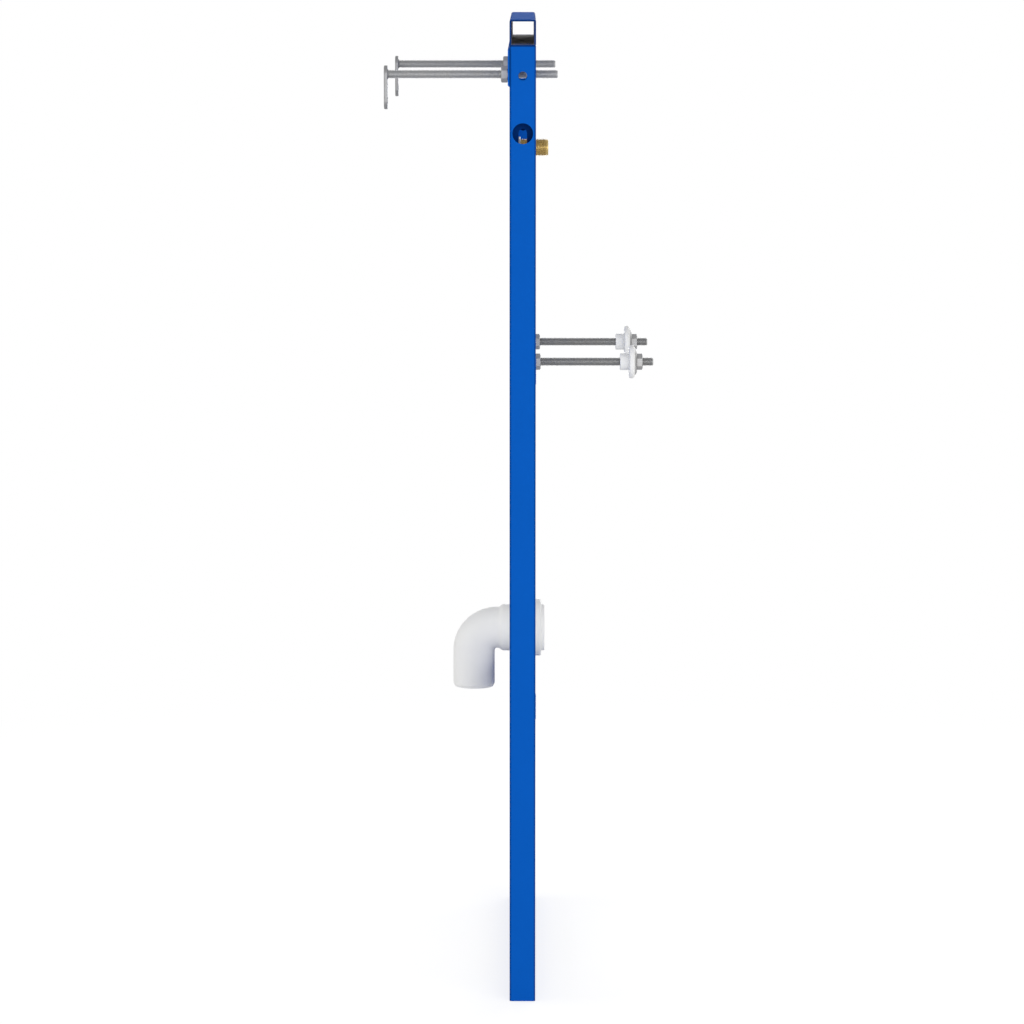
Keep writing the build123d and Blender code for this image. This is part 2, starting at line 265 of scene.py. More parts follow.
def keep(bm, name, slot, material, *nodes, crease=35):
    """Turn a finished bmesh into a piece that rides with the frame and stands for the given nodes."""
    bmesh.ops.remove_doubles(bm, verts=bm.verts, dist=merge_gap)
    bmesh.ops.dissolve_degenerate(bm, edges=bm.edges, dist=merge_gap)
    bmesh.ops.recalc_face_normals(bm, faces=bm.faces)
    mesh = bpy.data.meshes.new(name)
    bm.to_mesh(mesh)
    bm.free()
    mesh.shade_smooth()
    mesh.set_sharp_from_angle(angle=math.radians(crease))
    mesh.materials.append(material)
    piece = bpy.data.objects.new(name, mesh)
    bpy.context.scene.collection.objects.link(piece)
    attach(piece, "root")
    if nodes:
        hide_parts(*nodes)
    return piece


def middle(node):
    """Middle of a node's box."""
    low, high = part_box(node)
    return (low + high) / 2


def edges_of(verts):
    """Edges that join the given points."""
    chosen = set(verts)
    return [edge for edge in {edge for vert in verts for edge in vert.link_edges}
            if all(vert in chosen for vert in edge.verts)]


def open_edges(bm):
    """Edges at the open rims of a skin."""
    return [edge for edge in bm.edges if len(edge.link_faces) == 1]


def soften(bm, offset, segments=3, least=50):
    """Round the edges where two faces meet at more than the least angle, in degrees."""
    sharp = [edge for edge in bm.edges
             if len(edge.link_faces) == 2 and edge.calc_face_angle(0) > math.radians(least)]
    bmesh.ops.bevel(bm, geom=sharp, offset=offset, offset_type="OFFSET", affect="EDGES",
                    segments=segments, profile=0.5, material=-1, clamp_overlap=True)


def outline(bm, centre, profile, closed):
    """Wire in the plane of X and Y. Each corner is given as its place along Y, its distance from the
    centre along X and how far its rounding runs along the lines beside it."""
    corners = [bm.verts.new((centre.x + radius, place, centre.z)) for place, radius, _ in profile]
    pairs = list(zip(corners, corners[1:]))
    if closed:
        pairs.append((corners[-1], corners[0]))
    for pair in pairs:
        bm.edges.new(pair)
    for corner, (_, _, rounding) in zip(corners, profile):
        if rounding:
            bmesh.ops.bevel(bm, geom=[corner], offset=rounding, offset_type="OFFSET", affect="VERTICES",
                            segments=rounding_segments, profile=0.5, material=-1)
    wire = [edge for edge in bm.edges if not edge.link_faces]
    return wire + list({vert for edge in wire for vert in edge.verts})


def lathe(bm, centre, profile, steps=round_steps, closed=True):
    """Turn a profile, given as for outline, about the line along Y through centre."""
    wire = outline(bm, centre, profile, closed)
    bmesh.ops.spin(bm, geom=wire, cent=(centre.x, 0, centre.z), axis=(0, 1, 0), dvec=(0, 0, 0),
                   angle=full_turn, steps=steps, use_merge=True)


def thread(bm, centre, front, rear, major_d, pitch, depth, steps):
    """Helical thread skin along Y from front to rear, open at both ends: each turn is a root flat,
    a flank, a crest flat and a flank."""
    crest = major_d / 2
    root = crest - depth
    root_flat = pitch / 4
    crest_flat = pitch / 8
    flank = (pitch - root_flat - crest_flat) / 2
    places = [0, root_flat, root_flat + flank, root_flat + flank + crest_flat, pitch]
    radii = [root, root, crest, crest, root]
    start = front - pitch
    corners = [bm.verts.new((centre.x + radius, start + place, centre.z))
               for place, radius in zip(places, radii)]
    lines = [bm.edges.new(pair) for pair in zip(corners, corners[1:])]
    bmesh.ops.spin(bm, geom=corners + lines, cent=(centre.x, 0, centre.z), axis=(0, 1, 0),
                   dvec=(0, pitch / steps, 0), angle=full_turn, steps=steps)
    one_turn = bm.verts[:] + bm.edges[:] + bm.faces[:]
    for count in range(1, math.ceil((rear - start) / pitch) + 1):
        copy = bmesh.ops.duplicate(bm, geom=one_turn)["geom"]
        moved = [part for part in copy if isinstance(part, bmesh.types.BMVert)]
        bmesh.ops.translate(bm, verts=moved, vec=(0, pitch * count, 0))
    bmesh.ops.remove_doubles(bm, verts=bm.verts, dist=turn_gap)
    for place, outward in ((front, -1), (rear, 1)):
        bmesh.ops.bisect_plane(bm, geom=bm.verts[:] + bm.edges[:] + bm.faces[:], dist=cut_gap,
                               plane_co=(0, place, 0), plane_no=(0, outward, 0), clear_outer=True)


def taper_end(bm, centre, front, largest, run):
    """Chamfer the front end of a thread: no point there stands out further than a 45 degree cone."""
    for vert in bm.verts:
        depth = vert.co.y - front
        spoke = Vector((vert.co.x - centre.x, vert.co.z - centre.z))
        limit = largest - run + depth
        if depth < run and spoke.length > limit:
            spoke *= limit / spoke.length
            vert.co.x = centre.x + spoke.x
            vert.co.z = centre.z + spoke.y


def skin(bm, rings, steps, closed=True):
    """Skin through rings, each of which gives its point in the direction of an angle. A closed one runs
    on from the last ring to the first, and an open one is capped at both ends."""
    loops = []
    for ring in rings:
        verts = bmesh.ops.create_circle(bm, segments=steps, radius=1.0)["verts"]
        for count, vert in enumerate(verts):
            vert.co = ring(full_turn * (count + 0.5) / steps)
        loops.append(edges_of(verts))
    pairs = list(zip(loops, loops[1:]))
    if closed:
        pairs.append((loops[-1], loops[0]))
    for one, other in pairs:
        bmesh.ops.bridge_loops(bm, edges=one + other)
    if not closed:
        for loop in (loops[0], loops[-1]):
            bmesh.ops.edgeloop_fill(bm, edges=loop)


def about(centre, place, radius):
    """Ring about the line along Y through centre, for skin."""
    return lambda angle: (centre.x + radius * math.cos(angle), place,
                          centre.z + radius * math.sin(angle))


def upright_ring(centre, height, radius):
    """Ring about the vertical line through centre, for skin."""
    return lambda angle: (centre.x + radius * math.cos(angle),
                          centre.y + radius * math.sin(angle), height)


def hexagon_reach(across_flats, angle):
    """Distance from the middle of a hexagon to its side, at an angle from one of its corners."""
    sector = math.radians(60)
    return across_flats / 2 / math.cos(angle % sector - sector / 2)


def hexagon_ring(centre, place, inward, across_flats, face_r, corner_angle):
    """Ring where a hexagon's sides meet the cone that chamfers its corners."""
    def ring(angle):
        reach = hexagon_reach(across_flats, angle - corner_angle)
        drop = max(reach - face_r, 0) * chamfer_slope
        return about(centre, place + inward * drop, reach)(angle)
    return ring


def weld(bm, start, end, radius):
    """Weld bead along a seam: a round section that swells and sinks with each drop of the weld pool."""
    ring_gap = 0.6 * mm
    ring_sides = 12
    drop_length = 2.6 * mm
    drop_sink = 0.16
    end_share = 0.45
    end_run = 1.5 * radius
    start, end = Vector(start), Vector(end)
    run = end - start
    count = math.ceil(run.length / ring_gap)
    facing = Matrix.Translation(start) @ run.to_track_quat("Z", "Y").to_matrix().to_4x4()
    verts = bmesh.ops.create_circle(bm, segments=ring_sides, radius=1.0, matrix=facing)["verts"]
    spokes = [vert.co - start for vert in verts]
    loops = []
    for number in range(count + 1):
        along = run.length * number / count
        ripple = 1 - drop_sink * (along / drop_length % 1) ** 2
        ends = min(1, end_share + min(along, run.length - along) / end_run)
        if number:
            verts = bmesh.ops.create_circle(bm, segments=ring_sides, radius=1.0)["verts"]
        for vert, spoke in zip(verts, spokes):
            vert.co = start + run * (number / count) + spoke * (radius * ripple * ends)
        loops.append(edges_of(verts))
    for one, other in zip(loops, loops[1:]):
        bmesh.ops.bridge_loops(bm, edges=one + other)
    for loop in (loops[0], loops[-1]):
        bmesh.ops.edgeloop_fill(bm, edges=loop)


# Stage: camera, lights, world and floor

camera_place = Vector((-4.6131, -0.0049, 1.2242))
camera_turn = math.radians(0.224)
camera_dip = math.radians(8.412)
camera_lens = 134.975


def set_camera():
    """Camera at the left of the frame, a little above its top, looking across it and slightly down."""
    data = bpy.data.cameras.new("camera")
    data.lens = camera_lens
    camera = bpy.data.objects.new("camera", data)
    aim = Vector((math.cos(camera_dip) * math.cos(camera_turn),
                  math.cos(camera_dip) * math.sin(camera_turn), -math.sin(camera_dip)))
    camera.location = camera_place
    camera.rotation_euler = aim.to_track_quat("-Z", "Y").to_euler()
    bpy.context.scene.collection.objects.link(camera)
    bpy.context.scene.camera = camera


def soft_light(name, place, target, size, level):
    """Square soft light whose strength gives a facing surface that share of its own colour."""
    data = bpy.data.lights.new(name, "AREA")
    data.shape = "SQUARE"
    data.size = size
    reach = target - place
    data.energy = level * math.pi ** 2 * reach.length_squared
    light = bpy.data.objects.new(name, data)
    light.location = place
    light.rotation_euler = reach.to_track_quat("-Z", "Y").to_euler()
    bpy.context.scene.collection.objects.link(light)


def seen_rays(tree):
    """Socket that is 1 for what the eye or a shiny surface sees, 0 for light falling on a surface."""
    path = add(tree, "ShaderNodeLightPath").outputs
    seen = add(tree, "ShaderNodeMath", links={0: path["Is Camera Ray"], 1: path["Is Glossy Ray"]},
               operation="ADD")
    seen = add(tree, "ShaderNodeMath", links={0: seen.outputs[0], 1: path["Is Transmission Ray"]},
               operation="ADD", use_clamp=True)
    return seen.outputs[0]


ambient_level = 0.48


def set_world():
    """White background with a weaker, even light from all round."""
    world = bpy.data.worlds.new("studio")
    world.use_nodes = True
    tree = world.node_tree
    tree.nodes.clear()
    around = add(tree, "ShaderNodeBackground", {"Color": linear("#ffffff"), "Strength": ambient_level})
    white = add(tree, "ShaderNodeBackground", {"Color": linear("#ffffff"), "Strength": 1.0})
    both = add(tree, "ShaderNodeMixShader", links={0: seen_rays(tree), 1: around.outputs[0],
                                                   2: white.outputs[0]})
    add(tree, "ShaderNodeOutputWorld", links={"Surface": both.outputs[0]})
    bpy.context.scene.world = world


floor_radius = 6.0
floor_clear = (0.7, 1.6)


def set_floor():
    """Pale floor that looks white and keeps the frame's soft shadow close to its foot."""
    bm = bmesh.new()
    bmesh.ops.create_circle(bm, cap_ends=True, segments=round_steps, radius=floor_radius)
    mesh = bpy.data.meshes.new("floor")
    bm.to_mesh(mesh)
    bm.free()
    material, tree = new_material("pale_floor")
    place = add(tree, "ShaderNodeTexCoord").outputs["Object"]
    distance = add(tree, "ShaderNodeVectorMath", links={0: place}, operation="LENGTH")
    far = add(tree, "ShaderNodeMapRange", {"From Min": floor_clear[0], "From Max": floor_clear[1]},
              {"Value": distance.outputs["Value"]}, interpolation_type="SMOOTHSTEP")
    pale = add(tree, "ShaderNodeBsdfDiffuse", {"Color": linear("#dcdcdc")})
    shade = add(tree, "ShaderNodeBsdfDiffuse", {"Color": linear("#a8a8a8")})
    lift = add(tree, "ShaderNodeEmission", {"Color": linear("#ffffff"), "Strength": 0.71})
    near = add(tree, "ShaderNodeAddShader", links={0: shade.outputs[0], 1: lift.outputs[0]})
    white = add(tree, "ShaderNodeEmission", {"Color": linear("#ffffff"), "Strength": 1.0})
    shown = add(tree, "ShaderNodeMixShader", links={0: far.outputs[0], 1: near.outputs[0],
                                                    2: white.outputs[0]})
    ground = add(tree, "ShaderNodeMixShader", links={0: seen_rays(tree), 1: pale.outputs[0],
                                                     2: shown.outputs[0]})
    add(tree, "ShaderNodeOutputMaterial", links={"Surface": ground.outputs[0]})
    mesh.materials.append(material)
    floor = bpy.data.objects.new("floor", mesh)
    bpy.context.scene.collection.objects.link(floor)


# Key and front lights are given as they stand on the right, and stand mirrored on the left too
key_place = Vector((3.6, -0.1, 0.8))
key_size = 2.2
key_level = 0.39
front_place = Vector((2.9, -1.9, 1.1))
front_size = 2.2
front_level = 0.26
back_place = Vector((0.0, 3.6, 1.0))
back_size = 3.0
back_level = 0.42


def set_lights():
    """Broad light on both sides of the frame, weaker light from the room, and light from the wall."""
    frame_middle = (cad_box[0] + cad_box[1]) / 2
    for name, side in sides.items():
        mirror = Matrix.Diagonal((side, 1, 1))
        soft_light(f"{name}_key_light", mirror @ key_place, frame_middle, key_size, key_level)
        soft_light(f"{name}_front_light", mirror @ front_place, frame_middle, front_size, front_level)
    soft_light("back_light", back_place, frame_middle, back_size, back_level)


set_camera()
set_world()
set_floor()
set_lights()
bpy.context.scene.view_settings.view_transform = "Standard"


# Welded frame: the tubes and rails keep their solids and get their finish

bead_radius = 2.6 * mm
strip_bead_radius = 1.6 * mm


def finish_node(node, material):
    """Give a node's own solid its material."""
    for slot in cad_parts[node].material_slots:
        slot.material = material


def coated_tube(node, run, lining):
    """Coat for one of the square tubes, which lies along the given axis."""
    low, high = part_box(node)
    centre = (low + high) / 2
    half = (high - low) / 2
    tube = {"centre": [abs(place) for place in centre], "run": run,
            "end": half["XYZ".index(run)], "lining": lining}
    return powder_coat(f"blue_powder_coat_on_{node}", tube)


def coat_frame():
    """Coat the tubes and rails. The crossbar, open at its ends, is bare steel inside."""
    bare_steel = {"dark": "#bab8bd", "light": "#cac7c5", "metal": True}
    thin_coat = {"dark": "#063682", "light": "#08408f", "metal": False}
    finish_node("top_crossbar", coated_tube("top_crossbar", "X", bare_steel))
    finish_node("bottom_rail", coated_tube("bottom_rail", "X", thin_coat))
    upright_coat = coated_tube("left_upright", "Z", thin_coat)
    for node in ("left_upright", "right_upright"):
        finish_node(node, upright_coat)
    for node in ("rear_strip", "stud_rail", "inlet_rail", "drain_rail"):
        finish_node(node, blue_coat)


def rail_welds(bm, node, seam):
    """Beads where one end of a rail meets an upright: down its front and along its top and bottom."""
    low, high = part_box(node)
    inset = 3 * mm
    weld(bm, (seam, low.y, low.z + inset), (seam, low.y, high.z - inset), bead_radius)
    for edge in (low.z, high.z):
        weld(bm, (seam, low.y + inset, edge), (seam, high.y - inset, edge), bead_radius)


def flat_rail_welds(bm, node, seam):
    """Beads down both faces of a flat rail's end."""
    low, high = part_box(node)
    inset = 2 * mm
    for face in (low.y, high.y):
        weld(bm, (seam, face, low.z + inset), (seam, face, high.z - inset), strip_bead_radius)


def build_welds():
    """Weld beads under the coat, where rails, crossbar and strip meet the uprights."""
    bm = bmesh.new()
    for name, side in sides.items():
        low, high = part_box(f"{name}_upright")
        seam = high.x if side < 0 else low.x
        for node in ("stud_rail", "drain_rail"):
            rail_welds(bm, node, seam)
        flat_rail_welds(bm, "inlet_rail", seam)
        inset = 4 * mm
        for seat in (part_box("bottom_rail")[1].z, high.z):
            weld(bm, (seam, low.y + inset, seat), (seam, high.y - inset, seat), bead_radius)
        strip_low, strip_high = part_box("rear_strip")
        for edge in (strip_low.z, strip_high.z):
            weld(bm, (low.x + inset, high.y, edge), (high.x - inset, high.y, edge), strip_bead_radius)
    keep(bm, "frame_welds", coated_slot, blue_coat)


# Threaded rods, studs and nuts

thread_d = 10 * mm
thread_pitch = 1.5 * mm
thread_depth = 0.85 * mm
thread_chamfer = 1.2 * mm
thread_bore_d = 10.2 * mm
thread_steps = 24
thread_crease = 50
hexagon_face_share = 0.95
hexagon_steps = 72
hexagon_crease = 22


def threaded_bar(node, name, material):
    """Rolled thread from end to end, chamfered at its front."""
    low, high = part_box(node)
    centre = middle(node)
    bm = bmesh.new()
    thread(bm, centre, low.y, high.y, thread_d, thread_pitch, thread_depth, thread_steps)
    taper_end(bm, centre, low.y, thread_d / 2, thread_chamfer)
    bmesh.ops.holes_fill(bm, edges=open_edges(bm), sides=0)
    keep(bm, name, zinc_slot, material, node, crease=thread_crease)


def nut(node, name, bore_d, slot, material):
    """Hexagon nut with both rims chamfered to a cone and its bore countersunk."""
    low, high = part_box(node)
    centre = middle(node)
    width, height = high.x - low.x, high.z - low.z
    across_flats = min(width, height)
    corner_angle = math.radians(90) if height > width else 0.0
    face_r = hexagon_face_share * across_flats / 2
    bore_r = bore_d / 2
    sink = 0.6 * mm
    bm = bmesh.new()
    skin(bm, [
        about(centre, low.y + sink, bore_r),
        about(centre, low.y, bore_r + sink),
        about(centre, low.y, face_r),
        hexagon_ring(centre, low.y, 1, across_flats, face_r, corner_angle),
        hexagon_ring(centre, high.y, -1, across_flats, face_r, corner_angle),
        about(centre, high.y, face_r),
        about(centre, high.y, bore_r + sink),
        about(centre, high.y - sink, bore_r),
    ], hexagon_steps)
    keep(bm, name, slot, material, node, crease=hexagon_crease)


def build_fixings():
    """Wall rods and urinal studs with their nuts."""
    for name in sides:
        threaded_bar(f"{name}_wall_rod", f"{name}_wall_rod_thread", rod_zinc_painted_lighter)
        threaded_bar(f"{name}_urinal_stud", f"{name}_urinal_stud_thread", stud_zinc)
        for piece in ("wall_rod_front_nut", "wall_rod_rear_nut", "stud_front_nut", "stud_inner_nut",
                      "collar_nut"):
            nut(f"{name}_{piece}", f"{name}_{piece}_hexagon", thread_bore_d, zinc_slot, zinc)


# Plates on the wall rods

plate_screw_d = 9 * mm
plate_edge = 0.7 * mm
plate_steps = 64
plate_weld = 1.0 * mm
weld_crown = 0.2 * mm
weld_crown_rounding = 0.3 * mm
weld_toe = 0.3 * mm
weld_toe_rounding = 0.4 * mm
weld_sunk = 0.2 * mm


def wall_plate(name):
    """Plate with round ends, pressed from strip so that its rims are rounded, welded to its rod."""
    node = f"{name}_wall_plate"
    low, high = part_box(node)
    centre = middle(node)
    end_r = (high.x - low.x) / 2
    drop = (high.z - low.z) / 2 - end_r
    hole = Vector((centre.x, centre.y, centre.z - drop))

    def stadium(place):
        def ring(angle):
            lift = drop if math.sin(angle) > 0 else -drop
            x, y, z = about(centre, place, end_r)(angle)
            return x, y, z + lift
        return ring

    bm = bmesh.new()
    skin(bm, [stadium(low.y), stadium(high.y), about(hole, high.y, plate_screw_d / 2),
              about(hole, low.y, plate_screw_d / 2)], plate_steps)
    soften(bm, plate_edge)
    keep(bm, f"{name}_wall_plate_pressed", zinc_slot, plate_zinc_painted_darker, node)

    rod = f"{name}_wall_rod"
    rod_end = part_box(rod)[1].y
    rod_r = thread_d / 2
    bm = bmesh.new()
    lathe(bm, middle(rod), [
        (rod_end - plate_weld, rod_r - thread_depth, 0),
        (rod_end - plate_weld, rod_r + weld_crown, weld_crown_rounding),
        (rod_end - weld_toe, rod_r + plate_weld, weld_toe_rounding),
        (rod_end + weld_sunk, rod_r + plate_weld, 0),
        (rod_end + weld_sunk, rod_r - thread_depth, 0),
    ], small_round_steps)
    keep(bm, f"{name}_wall_plate_weld", zinc_slot, plate_zinc_painted_darker)


# Collars on the studs

collar_bore_d = 10.5 * mm
sleeve_length = 10.7 * mm
sleeve_d = 19.6 * mm
flange_rim = 4.8 * mm
cone_tip_d = 26 * mm
dished_washer = 2.2 * mm
pocket_depth = 1.2 * mm
pocket_r = 10.1 * mm
sleeve_bore_rounding = 0.4 * mm
sleeve_end_rounding = 1.0 * mm
sleeve_root_rounding = 0.8 * mm
flange_back_rounding = 1.8 * mm
flange_front_rounding = 1.0 * mm
seat_rounding = 0.2 * mm
washer_back_rounding = 0.3 * mm
washer_tip_rounding = 0.4 * mm
pocket_rounding = 0.3 * mm


def stud_collar(name):
    """Moulded collar, which is a sleeve, a flange with a rounded rim and the root of a cone, and the
    dished steel washer that ends the cone and holds the nut in its pocket."""
    node = f"{name}_stud_collar"
    low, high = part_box(node)
    bore_r = collar_bore_d / 2
    flange_r = (high.x - low.x) / 2
    flange_back = high.y - sleeve_length
    flange_front = flange_back - flange_rim
    tip_r = cone_tip_d / 2
    seat = low.y + dished_washer
    seat_r = tip_r + (flange_r - tip_r) * dished_washer / (flange_front - low.y)
    bm = bmesh.new()
    lathe(bm, middle(node), [
        (high.y, bore_r, sleeve_bore_rounding),
        (high.y, sleeve_d / 2, sleeve_end_rounding),
        (flange_back, sleeve_d / 2, sleeve_root_rounding),
        (flange_back, flange_r, flange_back_rounding),
        (flange_front, flange_r, flange_front_rounding),
        (seat, seat_r, seat_rounding),
        (seat, bore_r, 0),
    ])
    keep(bm, f"{name}_stud_collar_moulded", plastic_slot, plastic, node)

    bm = bmesh.new()
    lathe(bm, middle(node), [
        (seat, bore_r, 0),
        (seat, seat_r, washer_back_rounding),
        (low.y, tip_r, washer_tip_rounding),
        (low.y, pocket_r, pocket_rounding),
        (low.y + pocket_depth, pocket_r, 0),
        (low.y + pocket_depth, bore_r, 0),
    ])
    keep(bm, f"{name}_stud_washer_dished", zinc_slot, zinc)


# Water inlet

pipe_thread_d = 20.955 * mm
pipe_thread_pitch = 1.814 * mm
pipe_thread_depth = 1.16 * mm
inlet_bore_d = 15 * mm
inlet_shank_d = 20.5 * mm
inlet_shoulder = 3 * mm
inlet_end_ring = 1.4 * mm
inlet_thread_length = 32.3 * mm
inlet_mouth_rounding = 0.8 * mm
inlet_ring_rounding = 0.5 * mm
shoulder_front_rounding = 0.4 * mm
shoulder_back_rounding = 0.6 * mm
inlet_back_rounding = 0.6 * mm
pipe_thread_steps = 48
pipe_thread_skirt = 0.3 * mm


def build_inlet():
    """Brass inlet with a pipe thread behind a plain end ring, a shank and a shoulder, and its nut."""
    node = "inlet_fitting"
    low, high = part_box(node)
    centre = middle(node)
    bore_r = inlet_bore_d / 2
    root_r = pipe_thread_d / 2 - pipe_thread_depth
    thread_front = low.y + inlet_end_ring
    thread_rear = low.y + inlet_thread_length
    shank_r = inlet_shank_d / 2
    shoulder_r = (high.x - low.x) / 2
    bm = bmesh.new()
    lathe(bm, centre, [
        (low.y, bore_r, inlet_mouth_rounding),
        (low.y, root_r, inlet_ring_rounding),
        (thread_rear, root_r, 0),
        (thread_rear, shank_r, 0),
        (high.y - inlet_shoulder, shank_r, 0),
        (high.y - inlet_shoulder, shoulder_r, shoulder_front_rounding),
        (high.y, shoulder_r, shoulder_back_rounding),
        (high.y, bore_r, inlet_back_rounding),
    ])
    keep(bm, "inlet_fitting_turned", brass_slot, brass, node)

    bm = bmesh.new()
    thread(bm, centre, thread_front, thread_rear, pipe_thread_d, pipe_thread_pitch, pipe_thread_depth,
           pipe_thread_steps)
    taper_end(bm, centre, thread_front, pipe_thread_d / 2, pipe_thread_depth)
    ends = (thread_front, thread_rear)
    core = [bmesh.ops.create_circle(bm, segments=pipe_thread_steps, radius=1.0)["verts"] for _ in ends]
    for verts, place in zip(core, ends):
        ring = about(centre, place, root_r - pipe_thread_skirt)
        for count, vert in enumerate(verts):
            vert.co = ring(full_turn * count / pipe_thread_steps)
    loops = [edges_of(verts) for verts in core]
    for loop, place in zip(loops, ends):
        rim = [edge for edge in open_edges(bm)
               if all(abs(vert.co.y - place) < turn_gap for vert in edge.verts)]
        bmesh.ops.bridge_loops(bm, edges=loop + rim)
    bmesh.ops.bridge_loops(bm, edges=loops[0] + loops[1])
    keep(bm, "inlet_fitting_thread", brass_slot, brass, crease=thread_crease)
    nut("inlet_lock_nut", "inlet_lock_nut_hexagon", inlet_shank_d, zinc_slot, zinc)


# Drain elbow, its clamp and liner

pipe_d = 50 * mm
pipe_wall = 1.8 * mm
fit_r = 25.3 * mm
socket_r = 28.3 * mm
socket_depth = 50.8 * mm
groove_r = 31.3 * mm
groove_start = 6.5 * mm
groove_width = 7 * mm
bead_start = 4 * mm
bead_width = 12 * mm
flare_start = 49.3 * mm
flare_length = 8 * mm
bend_radius = 28 * mm
spigot_chamfer = 1.5 * mm
spigot_chamfer_length = 3.5 * mm
stop_rounding = 0.4 * mm
groove_lip_rounding = 0.3 * mm
mouth_bore_rounding = 1.0 * mm
mouth_rim_rounding = 1.2 * mm
bead_root_rounding = 0.5 * mm
bead_rounding = 2.0 * mm
bend_steps = 28
elbow_crease = 20
rim_margin = 0.1 * mm
seam_radius = 0.35 * mm
seam_sides = 8


def bend_down(bm, loop, start, axis_height):
    """Spin an open ring through the elbow's quarter bend, and return its new rim."""
    ring = loop + list({vert for edge in loop for vert in edge.verts})
    made = bmesh.ops.spin(bm, geom=ring, cent=(0, start, axis_height - bend_radius), axis=(-1, 0, 0),
                          dvec=(0, 0, 0), angle=math.radians(90), steps=bend_steps)
    return [part for part in made["geom_last"] if isinstance(part, bmesh.types.BMEdge)]


def pull_down(bm, loop, height, grow=0.0):
    """Extrude a level ring to a lower height, its radius changed by grow, and return its new rim."""
    made = bmesh.ops.extrude_edge_only(bm, edges=loop)["geom"]
    verts = [part for part in made if isinstance(part, bmesh.types.BMVert)]
    centre = sum((vert.co for vert in verts), Vector()) / len(verts)
    for vert in verts:
        spoke = vert.co - centre
        vert.co = centre + spoke * (1 + grow / spoke.length)
        vert.co.z = height
    return edges_of(verts)


def build_elbow():
    """Moulded elbow: push-fit socket with a rounded seal bead, flare, quarter bend and spigot."""
    node = "drain_elbow"
    low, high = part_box(node)
    axis_height = middle("drain_clamp_liner").z
    centre = Vector((0, 0, axis_height))
    mouth = low.y
    bead_r = high.z - axis_height
    pipe_r = pipe_d / 2
    bend_start = high.y - pipe_r - bend_radius
    stop = mouth + socket_depth
    groove = mouth + groove_start
    groove_end = groove + groove_width
    bead = mouth + bead_start
    bead_end = mouth + bead_start + bead_width
    flare = mouth + flare_start
    narrowing = socket_r - pipe_r
    flare_slope = math.atan2(narrowing, flare_length)
    flare_tangent = math.hypot(flare_length, narrowing) / 4 / math.cos(flare_slope)
    bm = bmesh.new()
    lathe(bm, centre, [
        (bend_start, pipe_r - pipe_wall, 0),
        (stop, pipe_r - pipe_wall, stop_rounding),
        (stop, fit_r, stop_rounding),
        (groove_end, fit_r, groove_lip_rounding),
        (groove_end, groove_r, 0),
        (groove, groove_r, 0),
        (groove, fit_r, groove_lip_rounding),
        (mouth, fit_r, mouth_bore_rounding),
        (mouth, socket_r, mouth_rim_rounding),
        (bead, socket_r, bead_root_rounding),
        (bead, bead_r, bead_rounding),
        (bead_end, bead_r, bead_rounding),
        (bead_end, socket_r, bead_root_rounding),
        (flare + flare_tangent, socket_r, flare_tangent),
        (flare + flare_length - flare_tangent, pipe_r, flare_tangent),
        (bend_start, pipe_r, 0),
    ], closed=False)
    rims = open_edges(bm)
    rim_middle = Vector((0, bend_start, axis_height))
    spigot_end = low.z
    ends = []
    for radius, grow in ((pipe_r, -spigot_chamfer), (pipe_r - pipe_wall, 0.0)):
        loop = [edge for edge in rims
                if abs((edge.verts[0].co - rim_middle).length - radius) < rim_margin]
        loop = bend_down(bm, loop, bend_start, axis_height)
        loop = pull_down(bm, loop, spigot_end + spigot_chamfer_length)
        ends.append(pull_down(bm, loop, spigot_end, grow))
    bmesh.ops.bridge_loops(bm, edges=ends[0] + ends[1])
    keep(bm, "drain_elbow_moulded", plastic_slot, plastic, node, crease=elbow_crease)

    bm = bmesh.new()
    top = Vector((0, bend_start, axis_height + pipe_r))
    facing = Matrix.Translation(top) @ Matrix.Rotation(math.radians(90), 4, "X")
    verts = bmesh.ops.create_circle(bm, segments=seam_sides, radius=seam_radius, matrix=facing)["verts"]
    loop = bend_down(bm, edges_of(verts), bend_start, axis_height)
    pull_down(bm, loop, spigot_end + spigot_chamfer_length)
    bmesh.ops.holes_fill(bm, edges=open_edges(bm), sides=0)
    keep(bm, "drain_elbow_seam", plastic_slot, plastic)


clamp_wall = 2 * mm
clamp_edge = 0.6 * mm
foot_corner = 5 * mm
band_bore_rounding = 0.3 * mm
liner_lip = 0.8 * mm
lip_rise = 0.6 * mm
lip_gap = 0.1 * mm
lip_rounding = 0.4 * mm
lip_root_rounding = 0.2 * mm
screw_from_end = 12 * mm
screw_across_flats = 13 * mm
screw_head = 5.3 * mm
screw_dish = 0.5 * mm
screw_dish_rim = 1.5 * mm
washer_d = 16 * mm
washer_thickness = 1.6 * mm
washer_edge = 0.2 * mm


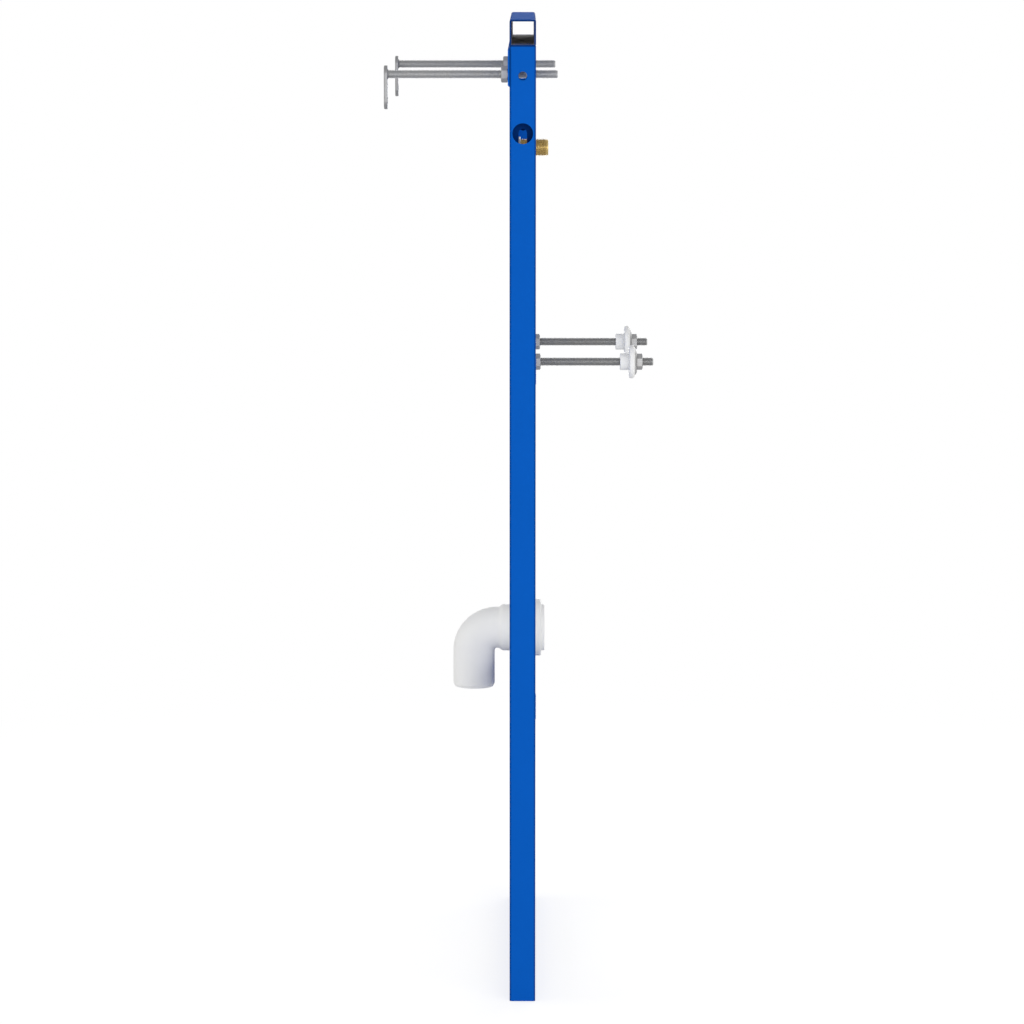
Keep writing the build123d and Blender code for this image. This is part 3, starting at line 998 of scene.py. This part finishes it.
def build_clamp():
    """Band of the pipe clamp with its foot, the rubber liner under it and the screws in the foot."""
    low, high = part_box("drain_clamp")
    liner_low, liner_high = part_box("drain_clamp_liner")
    centre = middle("drain_clamp_liner")
    band_r = high.z - centre.z
    bm = bmesh.new()
    lathe(bm, centre, [
        (low.y, band_r - clamp_wall, band_bore_rounding),
        (low.y, band_r, clamp_edge),
        (high.y, band_r, clamp_edge),
        (high.y, band_r - clamp_wall, band_bore_rounding),
    ])
    keep(bm, "drain_clamp_band", zinc_slot, zinc, "drain_clamp")

    foot_height = 2 * clamp_wall
    bm = bmesh.new()
    place = Matrix.Translation((centre.x, centre.y, low.z + foot_height / 2))
    size = Matrix.Diagonal((high.x - low.x, high.y - low.y, foot_height, 1))
    bmesh.ops.create_cube(bm, size=1.0, matrix=place @ size)
    upright_edges = [edge for edge in bm.edges
                     if abs((edge.verts[0].co - edge.verts[1].co).z) > foot_height / 2]
    bmesh.ops.bevel(bm, geom=upright_edges, offset=foot_corner, offset_type="OFFSET", affect="EDGES",
                    segments=rounding_segments, profile=0.5, material=-1)
    soften(bm, clamp_edge)
    keep(bm, "drain_clamp_foot", zinc_slot, zinc)

    liner_r = (liner_high.x - liner_low.x) / 2
    lip_r = liner_r + lip_rise
    bm = bmesh.new()
    lathe(bm, centre, [
        (liner_low.y - liner_lip, liner_r - clamp_wall, lip_rounding),
        (liner_low.y - liner_lip, lip_r, lip_rounding),
        (liner_low.y - lip_gap, lip_r, lip_root_rounding),
        (liner_low.y - lip_gap, liner_r, 0),
        (liner_high.y + lip_gap, liner_r, 0),
        (liner_high.y + lip_gap, lip_r, lip_root_rounding),
        (liner_high.y + liner_lip, lip_r, lip_rounding),
        (liner_high.y + liner_lip, liner_r - clamp_wall, lip_rounding),
    ])
    keep(bm, "drain_clamp_liner_lipped", rubber_slot, rubber, "drain_clamp_liner")
    for name, side in sides.items():
        place = Vector((side * (high.x - screw_from_end), centre.y, 0))
        foot_screw(f"drain_clamp_{name}_screw", place, low.z + foot_height)


def foot_screw(name, centre, seat):
    """Hexagon-head screw on a washer, standing on the foot."""
    washer_r = washer_d / 2
    head_seat = seat + washer_thickness
    head_top = head_seat + screw_head
    face_r = hexagon_face_share * screw_across_flats / 2

    def head_foot(angle):
        return upright_ring(centre, head_seat, hexagon_reach(screw_across_flats, angle))(angle)

    def head_rim(angle):
        reach = hexagon_reach(screw_across_flats, angle)
        return upright_ring(centre, head_top - (reach - face_r) * chamfer_slope, reach)(angle)

    bm = bmesh.new()
    skin(bm, [
        upright_ring(centre, seat, washer_r - washer_edge),
        upright_ring(centre, seat + washer_edge, washer_r),
        upright_ring(centre, head_seat - washer_edge, washer_r),
        upright_ring(centre, head_seat, washer_r - washer_edge),
    ], small_round_steps, closed=False)
    skin(bm, [
        head_foot,
        head_rim,
        upright_ring(centre, head_top, face_r),
        upright_ring(centre, head_top - screw_dish, face_r - screw_dish_rim),
    ], hexagon_steps, closed=False)
    keep(bm, name, zinc_slot, zinc, crease=hexagon_crease)


# Finishes, and the pieces in the order in which they are made

blue_coat = powder_coat("blue_powder_coat")
zinc = zinc_plate("zinc_plated_steel", "#94969a", "#9d9b98")
# Painted light: the wall rods get a lighter copy of the zinc, against the shade in their thread grooves
rod_zinc_painted_lighter = zinc_plate("zinc_plated_thread_painted_lighter", "#a6a8ac", "#adacaa")
# Painted shade: the wall plates get a darker copy of the zinc, against the white reflected in their
# faces
plate_zinc_painted_darker = zinc_plate("zinc_plated_plate_painted_darker", "#828488", "#8a8886")
stud_zinc = zinc_plate("zinc_plated_rolled_stud", "#8d8f91", "#959390")
brass = turned_brass()
plastic = moulded_plastic()
rubber = moulded_rubber()
coat_frame()
build_welds()
build_fixings()
for name in sides:
    wall_plate(name)
    stud_collar(name)
build_inlet()
build_elbow()
build_clamp()
finish_node("drain_seal", rubber)
